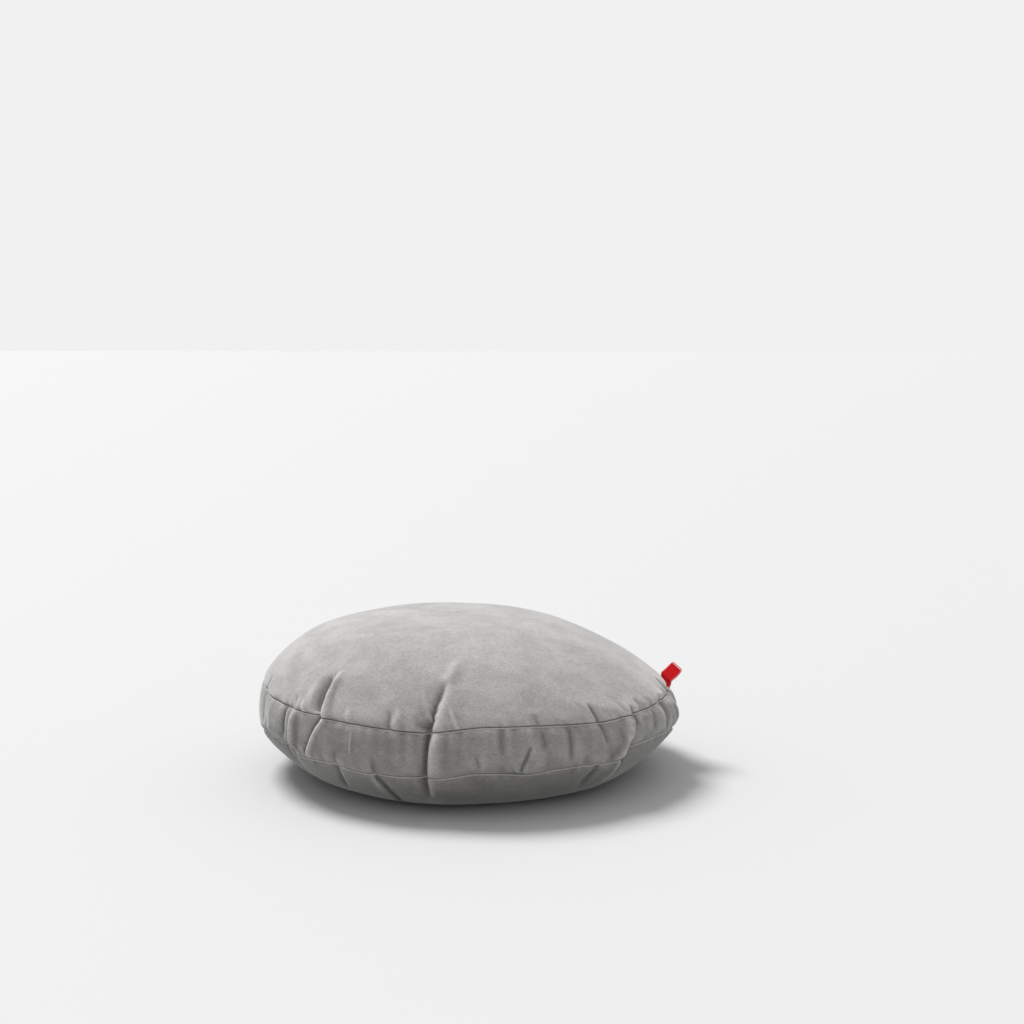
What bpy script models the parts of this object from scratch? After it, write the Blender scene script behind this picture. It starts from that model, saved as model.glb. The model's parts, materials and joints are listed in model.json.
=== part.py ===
"""Round boxed floor cushion: a velvet cover closed by a zip, with a fibre-filled pad inside.

Metres, +Z up. The origin is the middle of the face the cushion rests on.
Every sheet is drawn as a section through one side and turned about the upright axis.
"""
import math

import bmesh
import bpy
import numpy as np
from mathutils import Matrix, Vector

# Overall shape
SEAM_DIAMETER = 0.500        # circle of the upper seam, the size the cushion is sold by
OVERALL_HEIGHT = 0.1885      # floor to the middle of the dome
TOP_SEAM_SHARE = 0.537       # height of the upper seam as a share of the overall height
BASE_SEAM_SHARE = 0.268      # height of the lower seam as a share of the overall height
BASE_SPREAD = 1.0104         # lower seam circle against the upper one
BAND_SPREAD = 1.0296         # widest circle of the side band against the upper seam
REST_SHARE = 0.64            # part of the radius that lies flat on the floor
DOME_POWER = 3.0             # how flat the middle of the dome is
BASE_POWER = 2.2             # how sharply the underside curls up to its seam

# Cloth and sewing
COVER_THICKNESS = 0.0012     # velvet with its backing
ALLOWANCE = 0.011            # width of each turned-in edge
LAYER_GAP = 0.0003           # gap kept between pieces that touch
SEAM_THREAD = 0.0008         # thickness of the sewing thread's cord of stitches
PAD_CASE_THICKNESS = 0.0004  # non-woven case of the pad
TACK_LENGTH = 0.015          # bar of stitches where the zip begins
TACK_WIDTH = 0.0032
TACK_THICKNESS = 0.0006

# Zip
ZIP_LENGTH = 0.505           # coil length along the lower seam
ZIP_FRONT_DEG = -74.0        # azimuth of the zip's front end
SLIT_WIDTH = 0.0015          # gap between the cover's lips over the zip
TAPE_THICKNESS = 0.0006
TAPE_WIDTH = 0.010           # each tape, from the coil to its edge
COIL_WIDTH = 0.0019          # each half of the coil
COIL_THICKNESS = 0.0018
SLIDER_LENGTH = 0.009
SLIDER_PLATE = 0.0009        # thickness of the slider's plates
SLIDER_CLEARANCE = 0.0004    # slider to coil
LIP_CLEARANCE = 0.0012       # slider to the turned-in lips, which slope away from the slit
SLIDER_NECK = 0.0008         # web between the plates, and neck through the slit
SLIDER_LIP = 0.0007          # turned edge of each plate
STOP_LENGTH = 0.004
LUG_WIDTH = 0.0016
LUG_HOLE = 0.0011            # radius
LUG_WALL = 0.0010
LUG_LIFT = 0.0031            # hinge of the pull above the cloth
PULL_BAR = 0.0006            # radius
PULL_LENGTH = 0.020
PULL_WIDTH = 0.0056
PULL_THICKNESS = 0.0010

# Sewn-in tag
TAG_DEG = 7.0                # azimuth of its middle
TAG_LENGTH = 0.056           # along the seam
TAG_REACH = 0.020            # out of the seam
TAG_THICKNESS = 0.0008       # ribbon folded double
TAG_LIFT_DEG = 45.0
TAG_CORNER = 0.004

# Mesh steps
ZIP_STEPS = 26
PLAIN_STEPS = 20

TOP_RADIUS = SEAM_DIAMETER / 2
BASE_RADIUS = TOP_RADIUS * BASE_SPREAD
BAND_RADIUS = TOP_RADIUS * BAND_SPREAD
TOP_SEAM_HEIGHT = OVERALL_HEIGHT * TOP_SEAM_SHARE
BASE_SEAM_HEIGHT = OVERALL_HEIGHT * BASE_SEAM_SHARE
REST_RADIUS = TOP_RADIUS * REST_SHARE
FOLD_RADIUS = (COVER_THICKNESS + LAYER_GAP) / 2
FOLD_DEPTH = 2 * COVER_THICKNESS + LAYER_GAP
THREAD_DEPTH = FOLD_DEPTH + 0.0001
PLATE_DEPTH = FOLD_DEPTH + LIP_CLEARANCE
COIL_DEPTH = PLATE_DEPTH + SLIDER_PLATE + SLIDER_CLEARANCE
SLIDER_DEPTH = COIL_DEPTH + COIL_THICKNESS + SLIDER_CLEARANCE + SLIDER_PLATE
COIL_START = SLIDER_NECK / 2 + LAYER_GAP
COIL_END = COIL_START + COIL_WIDTH
TAPE_START = COIL_END + LAYER_GAP
SLIDER_HALF_WIDTH = COIL_END + SLIDER_CLEARANCE + 0.0009
ZIP_REAR_DEG = ZIP_FRONT_DEG + math.degrees(ZIP_LENGTH / BASE_RADIUS)
SLIDER_HALF_DEG = math.degrees(SLIDER_LENGTH / 2 / BASE_RADIUS)
STOP_DEG = math.degrees(STOP_LENGTH / BASE_RADIUS)
GAP_DEG = math.degrees(LAYER_GAP / BASE_RADIUS)
SLIDER_DEG = ZIP_REAR_DEG - SLIDER_HALF_DEG - 2 * GAP_DEG
CORE = np.array([TOP_RADIUS * 0.4, OVERALL_HEIGHT * 0.45])


def clear_scene():
    for thing in list(bpy.data.objects):
        bpy.data.objects.remove(thing, do_unlink=True)


def collection(name):
    group = bpy.data.collections.new(name)
    bpy.context.scene.collection.children.link(group)
    return group


def material(name, colour, roughness, metallic=0.0):
    made = bpy.data.materials.new(name)
    made.use_nodes = True
    shader = made.node_tree.nodes["Principled BSDF"]
    shader.inputs["Base Color"].default_value = (*colour, 1.0)
    shader.inputs["Roughness"].default_value = roughness
    shader.inputs["Metallic"].default_value = metallic
    made.diffuse_color = (*colour, 1.0)
    return made


def finish(mesh, name, group, paint, smooth=True):
    """Object from a bmesh, with its faces turned outwards."""
    bmesh.ops.recalc_face_normals(mesh, faces=mesh.faces)
    data = bpy.data.meshes.new(name)
    mesh.to_mesh(data)
    mesh.free()
    for face in data.polygons:
        face.use_smooth = smooth
    thing = bpy.data.objects.new(name, data)
    group.objects.link(thing)
    if paint:
        data.materials.append(paint)
    return thing


# Outline runs: each starts at a seam and gives points on the cover's outer face

def run(points):
    step = np.linalg.norm(np.diff(points, axis=0), axis=1)
    return np.concatenate([[0.0], np.cumsum(step)]), points


def place(side, s, depth):
    """Points at distance s from the seam and the given depth below the outer face."""
    length, pts = side
    s = np.atleast_1d(np.asarray(s, dtype=float))
    look = [np.stack([np.interp(s + d, length, pts[:, i]) for i in (0, 1)], -1)
            for d in (-0.0002, 0.0, 0.0002)]
    along = look[2] - look[0]
    along /= np.linalg.norm(along, axis=1)[:, None]
    inward = np.stack([-along[:, 1], along[:, 0]], -1)
    flip = np.sum((CORE - look[1]) * inward, axis=1) < 0
    inward[flip] *= -1
    return look[1] + inward * np.reshape(depth, (-1, 1)), along, inward


def top_run():
    r = TOP_RADIUS * np.cos(np.linspace(0, math.pi / 2, 240))
    r[-1] = 0
    z = TOP_SEAM_HEIGHT + (OVERALL_HEIGHT - TOP_SEAM_HEIGHT) * (1 - (r / TOP_RADIUS) ** DOME_POWER)
    return run(np.stack([r, z], -1))


def base_run():
    r = BASE_RADIUS * np.cos(np.linspace(0, math.pi / 2, 400))
    r[-1] = 0
    curl = np.clip((r - REST_RADIUS) / (BASE_RADIUS - REST_RADIUS), 0, 1)
    return run(np.stack([r, BASE_SEAM_HEIGHT * curl ** BASE_POWER], -1))


def band_run():
    """Side band from the lower seam up: its chord plus a parabola that reaches the widest circle."""
    t = np.linspace(0, 1, 200)
    sag = BAND_RADIUS - (BASE_RADIUS + TOP_RADIUS) / 2
    r = BASE_RADIUS + (TOP_RADIUS - BASE_RADIUS) * t + 4 * sag * t * (1 - t)
    z = BASE_SEAM_HEIGHT + (TOP_SEAM_HEIGHT - BASE_SEAM_HEIGHT) * t
    return run(np.stack([r, z], -1))


TOP = top_run()
BASE = base_run()
BAND_UP = band_run()
BAND_DOWN = run(BAND_UP[1][::-1])
TOP_REACH = TOP[0][-1]
BASE_REACH = BASE[0][-1]
BAND_WIDTH = BAND_UP[0][-1]
TOP_STEPS = np.array([1.0, 0.84, 0.67, 0.5, 0.36, 0.24, 0.15, 0.075]) * TOP_REACH
BASE_STEPS = np.array([1.0, 0.41, 0.35, 0.28, 0.21, 0.15, 0.1, 0.055]) * BASE_REACH
BAND_STEPS = np.array([0.3, 0.5, 0.7]) * BAND_WIDTH


def outer_layer(side, s):
    """Centre line of the outer layer and the direction of its good face."""
    p, _, inward = place(side, s, COVER_THICKNESS / 2)
    return p, -inward


def lean(above, below):
    """Tangent of half the bend between the two runs that meet at a seam."""
    first, second = (place(side, 0.0004, 0.0)[1][0] for side in (above, below))
    return math.tan((math.pi - math.acos(float(np.dot(first, second)))) / 2)


TOP_LEAN = lean(TOP, BAND_DOWN)
BASE_LEAN = lean(BAND_UP, BASE)


def turned_edge(side, half_gap, bend):
    """Centre line of a turned-in edge, from the start of its fold to the raw edge."""
    start = half_gap + (FOLD_RADIUS + COVER_THICKNESS / 2) * (1 + bend)
    centre, along, inward = place(side, start, COVER_THICKNESS / 2 + FOLD_RADIUS)
    turn = np.radians([0, 90, 180])[:, None]
    face = -inward * np.cos(turn) - along * np.sin(turn)
    lap, _, lap_in = place(side, [start + ALLOWANCE * 0.5, start + ALLOWANCE],
                           COVER_THICKNESS / 2 + 2 * FOLD_RADIUS)
    return (np.concatenate([centre + FOLD_RADIUS * face, lap]),
            np.concatenate([face, lap_in]))


def sheet(points, faces, thickness=COVER_THICKNESS):
    """Outline of a sheet from its centre line, good face first and then back along the other."""
    half = thickness / 2
    return np.concatenate([points + faces * half, (points - faces * half)[::-1]])


def panel_section(side, steps, half_gap, bend):
    flat, face = outer_layer(side, steps)
    edge, edge_face = turned_edge(side, half_gap, bend)
    outline = sheet(np.concatenate([flat, edge]), np.concatenate([face, edge_face]))
    outline[[0, -1], 0] = 0.0
    return outline


def band_section(low_gap, high_gap):
    low, low_face = turned_edge(BAND_UP, low_gap, BASE_LEAN)
    high, high_face = turned_edge(BAND_DOWN, high_gap, TOP_LEAN)
    flat, face = outer_layer(BAND_UP, BAND_STEPS)
    return sheet(np.concatenate([low[::-1], flat, high]),
                 np.concatenate([low_face[::-1], face, high_face]))


# Azimuths: close steps along the zip, wider ones round the rest

def azimuths():
    margin = 2.0
    low, high = ZIP_FRONT_DEG - STOP_DEG - margin, ZIP_REAR_DEG + STOP_DEG + margin
    fine = np.linspace(low, high, ZIP_STEPS)
    plain = np.linspace(high, low + 360, PLAIN_STEPS + 2)[1:-1]
    return fine, plain


FINE, PLAIN = azimuths()
ROUND = np.concatenate([FINE, PLAIN])
HALF_GAPS = np.where((ROUND > FINE[0] + 0.1) & (ROUND < FINE[-1] - 0.1),
                     SLIT_WIDTH / 2, LAYER_GAP / 2)
JOIN_AT = len(FINE) + 4      # step at which the two ends of the band meet, at the back


def lathe(name, sections, degrees, group, paint, poles=False, whole=True, smooth=True):
    """Sections (stations, points, 2) turned to their azimuths and joined into one closed skin.

    With poles each section runs from the axis to the axis. A part turn gets flat ends.
    """
    sections = np.asarray(sections)
    stations, count, _ = sections.shape
    mesh = bmesh.new()
    rings = []
    ends = {}
    for section, deg in zip(sections, degrees):
        c, s = math.cos(math.radians(deg)), math.sin(math.radians(deg))
        ring = []
        for j, (r, z) in enumerate(section):
            if poles and j in (0, count - 1):
                if j not in ends:
                    ends[j] = mesh.verts.new((0, 0, z))
                ring.append(ends[j])
            else:
                ring.append(mesh.verts.new((r * c, r * s, z)))
        rings.append(ring)
    for k in range(stations if whole else stations - 1):
        here, there = rings[k], rings[(k + 1) % stations]
        for j in range(count - 1 if poles else count):
            n = (j + 1) % count
            corners = []
            for v in (here[j], here[n], there[n], there[j]):
                if v not in corners:
                    corners.append(v)
            mesh.faces.new(corners)
    if not whole:
        mesh.faces.new(rings[0])
        mesh.faces.new(rings[-1])
    return finish(mesh, name, group, paint, smooth)


def arc(start, end):
    """Azimuths from start to end that share the close steps between them."""
    inside = FINE[(FINE > start + 0.4) & (FINE < end - 0.4)]
    return np.concatenate([[start], inside, [end]])


def turned(name, outline, degrees, group, paint, smooth=False):
    """One outline swept through a part turn."""
    return lathe(name, np.repeat(outline[None], len(degrees), axis=0), degrees, group, paint,
                 whole=False, smooth=smooth)


# Frame of the lower seam: w runs across the seam towards the band, depth goes into the cushion

def seam_frame(above, below):
    """Seam point, the direction across the seam from the lower run to the upper, and outwards."""
    _, up, _ = place(above, 0.0004, 0.0)
    _, down, _ = place(below, 0.0004, 0.0)
    across = up[0] - down[0]
    across /= np.linalg.norm(across)
    return above[1][0], across, np.array([across[1], -across[0]])


SEAM_POINT, ACROSS, OUTWARD = seam_frame(BAND_UP, BASE)


def at_seam(points):
    """Section points from (w, depth) at the lower seam."""
    points = np.asarray(points, dtype=float)
    return SEAM_POINT + points[:, :1] * ACROSS - points[:, 1:] * OUTWARD


def seam_axes(deg):
    """Three directions at the lower seam: along it, across it and outwards."""
    a = math.radians(deg)
    radial = Vector((math.cos(a), math.sin(a), 0))
    up = Vector((0, 0, 1))
    along = Vector((-math.sin(a), math.cos(a), 0))
    across = radial * ACROSS[0] + up * ACROSS[1]
    outward = radial * OUTWARD[0] + up * OUTWARD[1]
    return along, across, outward


def seam_matrix(deg, lift):
    """Local X across the seam, Y along it, Z outwards, at a height above the cloth."""
    along, across, outward = seam_axes(deg)
    a = math.radians(deg)
    at = Vector((SEAM_POINT[0] * math.cos(a), SEAM_POINT[0] * math.sin(a), SEAM_POINT[1]))
    at += outward * lift
    cols = (across, outward.cross(across), outward)
    turn = Matrix([(cols[0][i], cols[1][i], cols[2][i], at[i]) for i in range(3)])
    turn.resize_4x4()
    return turn


# Cover

def make_cover(group, velvet):
    dome = panel_section(TOP, TOP_STEPS, LAYER_GAP / 2, TOP_LEAN)
    lathe("top_panel", np.repeat(dome[None], len(ROUND), axis=0), ROUND, group, velvet, poles=True)
    lathe("bottom_panel", [panel_section(BASE, BASE_STEPS, g, BASE_LEAN) for g in HALF_GAPS],
          ROUND, group, velvet, poles=True)
    order = np.roll(np.arange(len(ROUND)), -JOIN_AT)
    degrees = ROUND[order] + np.where(order < JOIN_AT, 360.0, 0.0)
    half = math.degrees(LAYER_GAP / 2 / BASE_RADIUS)
    degrees = np.concatenate([degrees, [degrees[0] + 360.0 - half]])
    degrees[0] += half
    gaps = np.concatenate([HALF_GAPS[order], HALF_GAPS[order][:1]])
    lathe("side_band", [band_section(g, LAYER_GAP / 2) for g in gaps],
          degrees, group, velvet, whole=False)


def thread_outline(centre):
    turn = np.radians([0, 90, 180, 270])[:, None]
    return centre + SEAM_THREAD / 2 * np.concatenate([np.cos(turn), np.sin(turn)], axis=1)


def make_threads(group, thread):
    top, _, _ = place(TOP, 0.0, THREAD_DEPTH)
    seam, _, outward = seam_frame(TOP, BAND_DOWN)
    outline = thread_outline(seam - outward * THREAD_DEPTH)
    lathe("top_seam_thread", np.repeat(outline[None], len(ROUND), axis=0), ROUND, group, thread)
    low = thread_outline(at_seam([(0, THREAD_DEPTH)])[0])
    plain = np.concatenate([[FINE[-1]], PLAIN, [FINE[0] + 360]])
    turned("bottom_seam_thread", low, plain, group, thread, smooth=True)
    half = math.degrees(TACK_LENGTH / 2 / BASE_RADIUS)
    near, far = -LAYER_GAP, -LAYER_GAP - TACK_THICKNESS
    w = TACK_WIDTH / 2
    bar = at_seam([(-w, near), (w, near), (w * 0.8, far), (-w * 0.8, far)])
    middle = ZIP_FRONT_DEG - half - 4 * GAP_DEG
    turned("zip_end_tack", bar, [middle - half, middle, middle + half], group, thread)


# Zip

def tape_outline(side, sign):
    """Tape from beside the coil, out through the slider's slot and back to the turned-in edge."""
    middle = COIL_DEPTH + COIL_THICKNESS / 2
    half = TAPE_THICKNESS / 2
    slot = SLIDER_HALF_WIDTH + 0.0005
    straight = [at_seam([(sign * TAPE_START, middle + h), (sign * slot, middle + h)])
                for h in (-half, half)]
    lap = FOLD_DEPTH + LAYER_GAP + half
    s = np.array([slot + 0.0024, TAPE_START + TAPE_WIDTH])
    outer, _, _ = place(side, s, lap - half)
    inner, _, _ = place(side, s, lap + half)
    return np.concatenate([straight[0], outer, inner[::-1], straight[1][::-1]])


def coil_outline(sign):
    a, b, d, e = COIL_START, COIL_END, COIL_DEPTH, COIL_DEPTH + COIL_THICKNESS
    soft = COIL_THICKNESS * 0.28
    return at_seam([(sign * w, h) for w, h in
                    ((a, d + soft), (a + soft, d), (b - soft, d), (b, d + soft),
                     (b, e - soft), (b - soft, e), (a + soft, e), (a, e - soft))])


def slider_outline():
    n, h = SLIDER_NECK / 2, SLIDER_HALF_WIDTH
    e = h - 0.0008
    top, low = PLATE_DEPTH, SLIDER_DEPTH
    half = [(n, -0.0012), (n, top), (h, top), (h, top + SLIDER_PLATE + SLIDER_LIP),
            (e, top + SLIDER_PLATE + SLIDER_LIP), (e, top + SLIDER_PLATE), (n, top + SLIDER_PLATE),
            (n, low - SLIDER_PLATE), (e, low - SLIDER_PLATE), (e, low - SLIDER_PLATE - SLIDER_LIP),
            (h, low - SLIDER_PLATE - SLIDER_LIP), (h, low)]
    return at_seam(half + [(-w, d) for w, d in reversed(half)])


def block(name, size, offset, group):
    """Box of the given size about the given centre."""
    mesh = bmesh.new()
    bmesh.ops.create_cube(mesh, size=1.0)
    for v in mesh.verts:
        v.co = Vector([v.co[i] * size[i] + offset[i] for i in range(3)])
    return finish(mesh, name, group, None, smooth=False)


def rod(name, radius, length, segments, group):
    """Cylinder along local X, which runs across the seam."""
    mesh = bmesh.new()
    bmesh.ops.create_cone(mesh, cap_ends=True, segments=segments, radius1=radius,
                          radius2=radius, depth=length)
    for v in mesh.verts:
        v.co = Vector((v.co.z, v.co.y, -v.co.x))
    return finish(mesh, name, group, None)


def joined(thing, other, operation):
    cut = thing.modifiers.new(operation.lower(), "BOOLEAN")
    cut.operation = operation
    cut.solver = "EXACT"
    cut.object = other


def put(thing, matrix):
    thing.matrix_world = matrix


def as_cutter(thing):
    thing.hide_render = True
    thing.display_type = "WIRE"
    return thing


def make_slider(group, cutters, metal):
    degrees = [SLIDER_DEG - SLIDER_HALF_DEG, SLIDER_DEG, SLIDER_DEG + SLIDER_HALF_DEG]
    body = turned("zip_slider", slider_outline(), degrees, group, metal)
    place_at = seam_matrix(SLIDER_DEG, LUG_LIFT)
    wall = LUG_HOLE + LUG_WALL
    foot = LUG_LIFT - 0.0006
    lug = block("lug_foot", (LUG_WIDTH, 2 * wall, foot), (0, 0, -foot / 2), cutters)
    head = rod("lug_head", wall, LUG_WIDTH, 20, cutters)
    hole = rod("lug_hole", LUG_HOLE, LUG_WIDTH * 3, 16, cutters)
    for piece, operation in ((lug, "UNION"), (head, "UNION"), (hole, "DIFFERENCE")):
        put(as_cutter(piece), place_at)
        joined(body, piece, operation)


def make_pull(group, cutters, metal):
    """Tab with a window round the lug, hung on a bar through the lug's hole."""
    at = seam_matrix(SLIDER_DEG, LUG_LIFT)
    wall = LUG_HOLE + LUG_WALL
    window = (LUG_WIDTH + 2 * 0.0005, 0.004, wall + 0.0005)
    tab = block("zip_pull", (PULL_WIDTH, PULL_THICKNESS, PULL_LENGTH), (0, 0, PULL_LENGTH / 2), group)
    tab.data.materials.append(metal)
    soft = tab.modifiers.new("soft_corners", "BEVEL")
    soft.width = 0.0003
    soft.segments = 1
    gap = block("pull_window", window, (0, 0, window[2] / 2), cutters)
    end = block("pull_end", (PULL_WIDTH * 2, 0.01, 0.01), (0, 0, -0.005), cutters)
    bar = rod("pull_bar", PULL_BAR, PULL_WIDTH - 0.0004, 12, cutters)
    put(tab, at)
    for piece, operation in ((gap, "DIFFERENCE"), (end, "DIFFERENCE"), (bar, "UNION")):
        put(as_cutter(piece), at)
        joined(tab, piece, operation)


def make_zip(group, cutters, tape, coil, metal):
    low = ZIP_FRONT_DEG - STOP_DEG * 0.8
    high = ZIP_REAR_DEG + STOP_DEG * 0.8
    turned("zip_tape_upper", tape_outline(BAND_UP, 1), arc(low, high), group, tape)
    turned("zip_tape_lower", tape_outline(BASE, -1), arc(low, high), group, tape)
    for name, sign in (("zip_coil_upper", 1), ("zip_coil_lower", -1)):
        turned(name, coil_outline(sign), arc(ZIP_FRONT_DEG, ZIP_REAR_DEG), group, coil, smooth=True)
    w = COIL_END - 0.0002
    stop = at_seam([(-w, PLATE_DEPTH), (w, PLATE_DEPTH), (w, SLIDER_DEPTH), (-w, SLIDER_DEPTH)])
    far = STOP_DEG * 0.8
    turned("zip_stop_front", stop,
           [ZIP_FRONT_DEG - GAP_DEG * 1.2 - far, ZIP_FRONT_DEG - GAP_DEG * 1.2], group, metal)
    turned("zip_stop_rear", stop,
           [ZIP_REAR_DEG + GAP_DEG * 1.2, ZIP_REAR_DEG + GAP_DEG * 1.2 + far], group, metal)
    make_slider(group, cutters, metal)
    make_pull(group, cutters, metal)


# Pad

def pad_depths(extra):
    """Depth of the pad under the cover's outer face by distance from each seam."""
    plain = COVER_THICKNESS + LAYER_GAP + extra
    folds = FOLD_DEPTH + 2 * LAYER_GAP + extra
    thread = THREAD_DEPTH + SEAM_THREAD / 2 + 2 * LAYER_GAP + extra
    zipped = SLIDER_DEPTH + 2 * LAYER_GAP + extra
    tape = FOLD_DEPTH + TAPE_THICKNESS + 3 * LAYER_GAP + extra
    edge = ALLOWANCE + 0.003
    top = ([0, 0.0025, 0.006, edge, edge + 0.008], [thread, thread, folds, folds, plain])
    slot = SLIDER_HALF_WIDTH + 0.0012
    low = ([0, slot, slot + 0.0035, edge + 0.002, edge + 0.011], [zipped, zipped, tape, tape, plain])
    return top, low


def pad_points(extra, part):
    """Pad outline for the dome, the side above or below the middle of the band, or the base."""
    top, low = pad_depths(extra)
    near = np.array([ALLOWANCE + 0.003, 0.006, 0.0025])
    half = BAND_WIDTH / 2
    if part == "dome":
        s = np.concatenate([TOP_STEPS, near])
        return place(TOP, s, np.interp(s, *top))[0]
    if part == "upper":
        s = np.array([0.0025, 0.006, half - LAYER_GAP / 2])
        return place(BAND_DOWN, s, np.interp(s, *top))[0]
    slot = SLIDER_HALF_WIDTH + 0.0012
    if part == "lower":
        s = np.array([half - LAYER_GAP / 2, slot + 0.0035, slot])
        return place(BAND_UP, s, np.concatenate([np.interp(s[:1], *top), np.interp(s[1:], *low)]))[0]
    s = np.concatenate([[slot, slot + 0.0035], BASE_STEPS[::-1]])
    return place(BASE, s, np.interp(s, *low))[0]


def make_pad(group, cloth, fibre):
    def shell(first, second, from_top):
        outer = np.concatenate([pad_points(0.0, first), pad_points(0.0, second)])
        inner = np.concatenate([pad_points(PAD_CASE_THICKNESS, first),
                                pad_points(PAD_CASE_THICKNESS, second)])
        outline = (np.concatenate([outer, inner[::-1]]) if from_top
                   else np.concatenate([outer[::-1], inner]))
        outline[[0, -1], 0] = 0.0
        return outline
    for name, outline in (("pad_case_top", shell("dome", "upper", True)),
                          ("pad_case_bottom", shell("lower", "base", False))):
        lathe(name, np.repeat(outline[None], len(ROUND), axis=0), ROUND, group, cloth, poles=True)
    depth = PAD_CASE_THICKNESS + LAYER_GAP
    core = np.concatenate([pad_points(depth, p) for p in ("dome", "upper", "lower", "base")])
    core[[0, -1], 0] = 0.0
    lathe("fibre_fill", np.repeat(core[None], len(ROUND), axis=0), ROUND, group, fibre, poles=True)


# Tag

def make_tag(group, ribbon):
    """Folded ribbon standing out of the upper seam, with rounded outer corners."""
    steps = np.radians([0, 30, 60, 90])
    half, r = TAG_LENGTH / 2, TAG_CORNER
    corner = [(half - r + r * math.cos(a), TAG_REACH - r + r * math.sin(a)) for a in steps]
    outline = [(half, 0.0)] + corner + [(-x, y) for x, y in reversed(corner)] + [(-half, 0.0)]
    mesh = bmesh.new()
    layers = [[mesh.verts.new((x, y, z)) for x, y in outline]
              for z in (-TAG_THICKNESS / 2, TAG_THICKNESS / 2)]
    count = len(outline)
    for j in range(count):
        n = (j + 1) % count
        mesh.faces.new((layers[0][j], layers[0][n], layers[1][n], layers[1][j]))
    mesh.faces.new(layers[0])
    mesh.faces.new(layers[1])
    tag = finish(mesh, "brand_tag", group, ribbon, smooth=False)
    a, lift = math.radians(TAG_DEG), math.radians(TAG_LIFT_DEG)
    radial = Vector((math.cos(a), math.sin(a), 0))
    out = radial * math.cos(lift) + Vector((0, 0, math.sin(lift)))
    along = Vector((-math.sin(a), math.cos(a), 0))
    at = radial * TOP_RADIUS + Vector((0, 0, TOP_SEAM_HEIGHT)) + out * (2 * LAYER_GAP)
    normal = along.cross(out)
    turn = Matrix([(along[i], out[i], normal[i], at[i]) for i in range(3)])
    turn.resize_4x4()
    put(tag, turn)


def main():
    clear_scene()
    cushion = collection("floor_cushion")
    cutters = collection("cutters")
    velvet = material("grey_velvet", (0.42, 0.40, 0.385), 0.85)
    thread = material("sewing_thread", (0.36, 0.345, 0.33), 0.7)
    tape = material("zip_tape_cloth", (0.40, 0.385, 0.37), 0.8)
    coil = material("nylon_coil", (0.45, 0.43, 0.41), 0.45)
    metal = material("slider_metal", (0.55, 0.55, 0.56), 0.35, 1.0)
    ribbon = material("red_ribbon", (0.62, 0.04, 0.05), 0.6)
    cloth = material("white_pad_cloth", (0.86, 0.86, 0.84), 0.9)
    fibre = material("polyester_fibre", (0.92, 0.92, 0.91), 1.0)
    make_cover(cushion, velvet)
    make_threads(cushion, thread)
    make_zip(cushion, cutters, tape, coil, metal)
    make_pad(cushion, cloth, fibre)
    make_tag(cushion, ribbon)


main()
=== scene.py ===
"""Looks of the round boxed floor cushion: a velvet cover over a soft pad, its seams, zip and tag."""

import json
import math

import bmesh
import bpy
import numpy as np
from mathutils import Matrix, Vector


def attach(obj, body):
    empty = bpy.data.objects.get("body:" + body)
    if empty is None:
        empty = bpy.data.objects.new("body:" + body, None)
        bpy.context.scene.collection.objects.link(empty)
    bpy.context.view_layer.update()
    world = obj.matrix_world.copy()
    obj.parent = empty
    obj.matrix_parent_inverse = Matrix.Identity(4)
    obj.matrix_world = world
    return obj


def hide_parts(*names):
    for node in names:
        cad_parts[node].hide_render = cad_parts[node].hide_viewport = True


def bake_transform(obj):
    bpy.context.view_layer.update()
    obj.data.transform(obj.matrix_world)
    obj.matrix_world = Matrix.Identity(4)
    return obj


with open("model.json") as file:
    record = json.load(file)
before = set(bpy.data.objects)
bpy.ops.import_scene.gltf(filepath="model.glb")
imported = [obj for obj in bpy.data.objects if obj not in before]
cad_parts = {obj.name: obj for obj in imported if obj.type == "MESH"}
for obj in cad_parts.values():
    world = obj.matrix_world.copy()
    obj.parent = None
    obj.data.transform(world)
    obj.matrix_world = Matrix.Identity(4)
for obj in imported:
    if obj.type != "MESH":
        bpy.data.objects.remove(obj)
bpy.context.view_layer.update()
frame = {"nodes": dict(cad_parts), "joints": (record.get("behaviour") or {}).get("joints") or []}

# Resting shape, in metres. Azimuths are degrees from +X, counter-clockwise from above.
SEAM_RADIUS = 0.250          # upper seam
SEAM_LIFT = 0.1012           # upper seam above the floor
SEAM_TILT = 0.0085           # how much lower the upper seam is at +X, and higher at -X
SEAM_RISE = 0.25             # share of its creases' push by which the upper seam rises
LOW_RADIUS = 0.2526          # lower seam
LOW_LIFT = 0.0505            # lower seam above the floor
LOW_GIVE = 0.8               # share of its creases' push by which the lower seam goes outwards
SEAM_FADE = 0.012            # distance from a seam in which the seam's own moves die away
BAND = 0.0514                # width of the side band
BULGE = 0.0061               # how far the band stands out from its chord
DOME_TOP = 0.1830            # crown of the dome above the floor
DOME_LEAN = -0.022           # the crown's place along X
REST_RADIUS = 0.160          # flat part of the underside
CASE_ROOM = 0.012            # from the cover in to the pad's case
FILL_ROOM = 0.016            # from the cover in to the filling

# Steps of the grid
COLUMNS = 720                # round the cushion
TOP_ROWS = 60                # from the crown to the upper seam
BAND_ROWS = 42               # down the side band
BASE_ROWS = 54               # from the lower seam to the middle of the underside
COARSE = 3                   # the cloth pass works on every third column
PAD_STEP = 6                 # the pad has every sixth column

# Sewing
VELVET = 0.0010              # thickness of the velvet
COTTON = 0.0008              # thickness of the pad's case
ROLL = 0.0014                # radius of the rolled edge at a seam
TUCK = 0.0026                # how deep a seam is drawn into the cushion
DRAWN = 0.004                # distance from the seam in which the cloth is drawn in
STITCHES = 520               # round each seam
TACK_STITCHES = 8

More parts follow.
